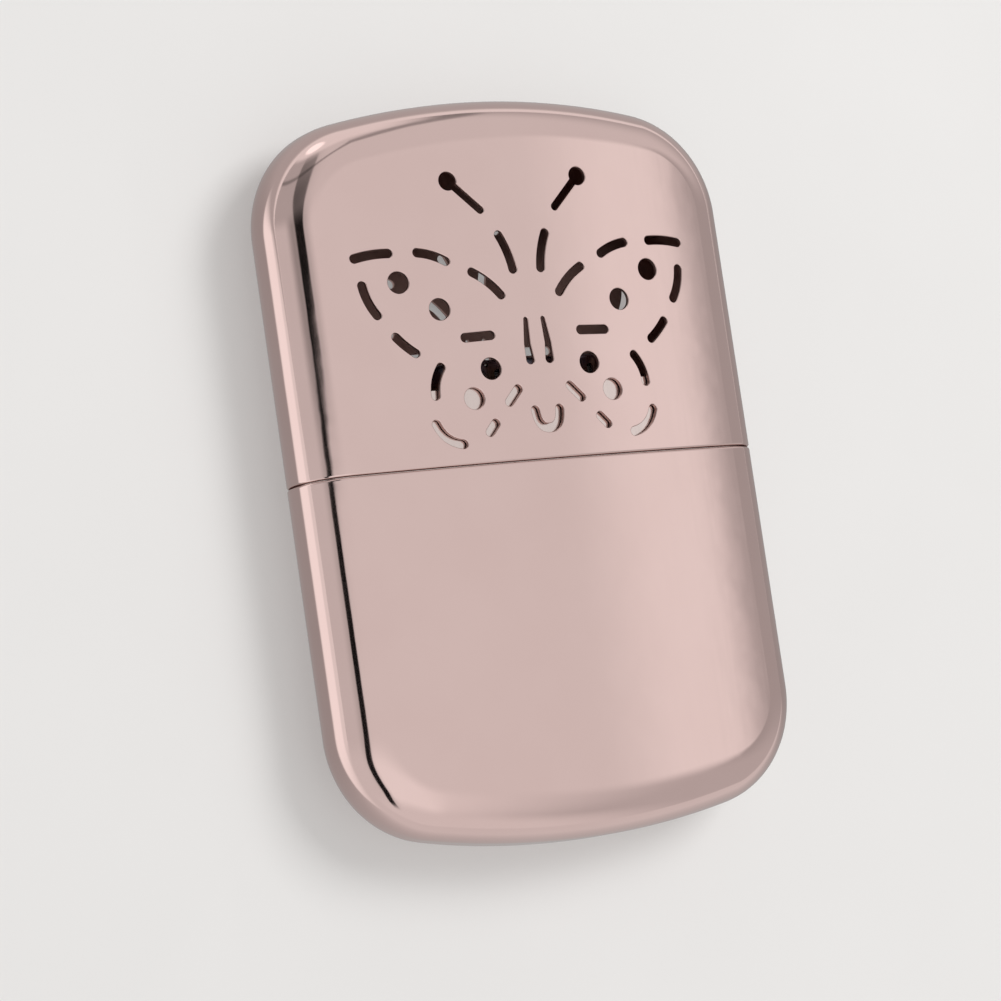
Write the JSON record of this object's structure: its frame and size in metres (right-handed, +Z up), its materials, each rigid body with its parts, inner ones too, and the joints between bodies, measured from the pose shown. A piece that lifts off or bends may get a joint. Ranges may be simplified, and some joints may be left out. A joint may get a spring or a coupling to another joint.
{
  "type": "catalytic hand warmer",
  "caption": "Pocket catalytic hand warmer: a flat rounded metal case whose butterfly-pierced cap slides off a collar, with a lift-off catalytic burner on a cotton-filled fuel tank.",
  "frame": {"origin": "under the middle of the closed case, on the surface that it lies on", "axes": "+X to the right across the width, +Y along the length towards the cap, +Z up through the thickness, out of the front face"},
  "size_m": [0.065, 0.092, 0.015],
  "materials": {
    "case_metal": "satin polished plate, faintly warm",
    "collar_metal": "bright plate",
    "burner_metal": "pressed steel, heat tinted at the hood",
    "wire_metal": "drawn wire and woven gauze",
    "rivet_brass": "turned, dull",
    "cotton": "carded cotton wool",
    "wick_felt": "dense felt",
    "catalyst_fibre": "platinised glass fibre mat"
  },
  "bodies": {
    "tank": {"tank_shell": "case_metal", "tank_collar": "collar_metal", "closing_plate": "collar_metal", "filler_neck": "collar_metal", "wick_plug": "wick_felt", "wick_gauze": "wire_metal", "cotton_batt_front": "cotton", "cotton_batt_middle": "cotton", "cotton_batt_back": "cotton"},
    "cap": {"cap_shell": "case_metal"},
    "burner": {"burner_skirt": "burner_metal", "burner_base_plate": "burner_metal", "burner_hood": "burner_metal", "burner_rivets": "rivet_brass", "support_grid": "wire_metal", "catalyst_mat": "catalyst_fibre", "retaining_grid": "wire_metal", "retaining_wires": "wire_metal"}
  },
  "joints": [
    {"name": "cap_pull", "type": "slide", "parent": "tank", "child": "cap", "axis": [0, 1, 0], "range_m": [0, 0.06]},
    {"name": "burner_pull", "type": "slide", "parent": "tank", "child": "burner", "axis": [0, 1, 0], "range_m": [0, 0.025]}
  ]
}
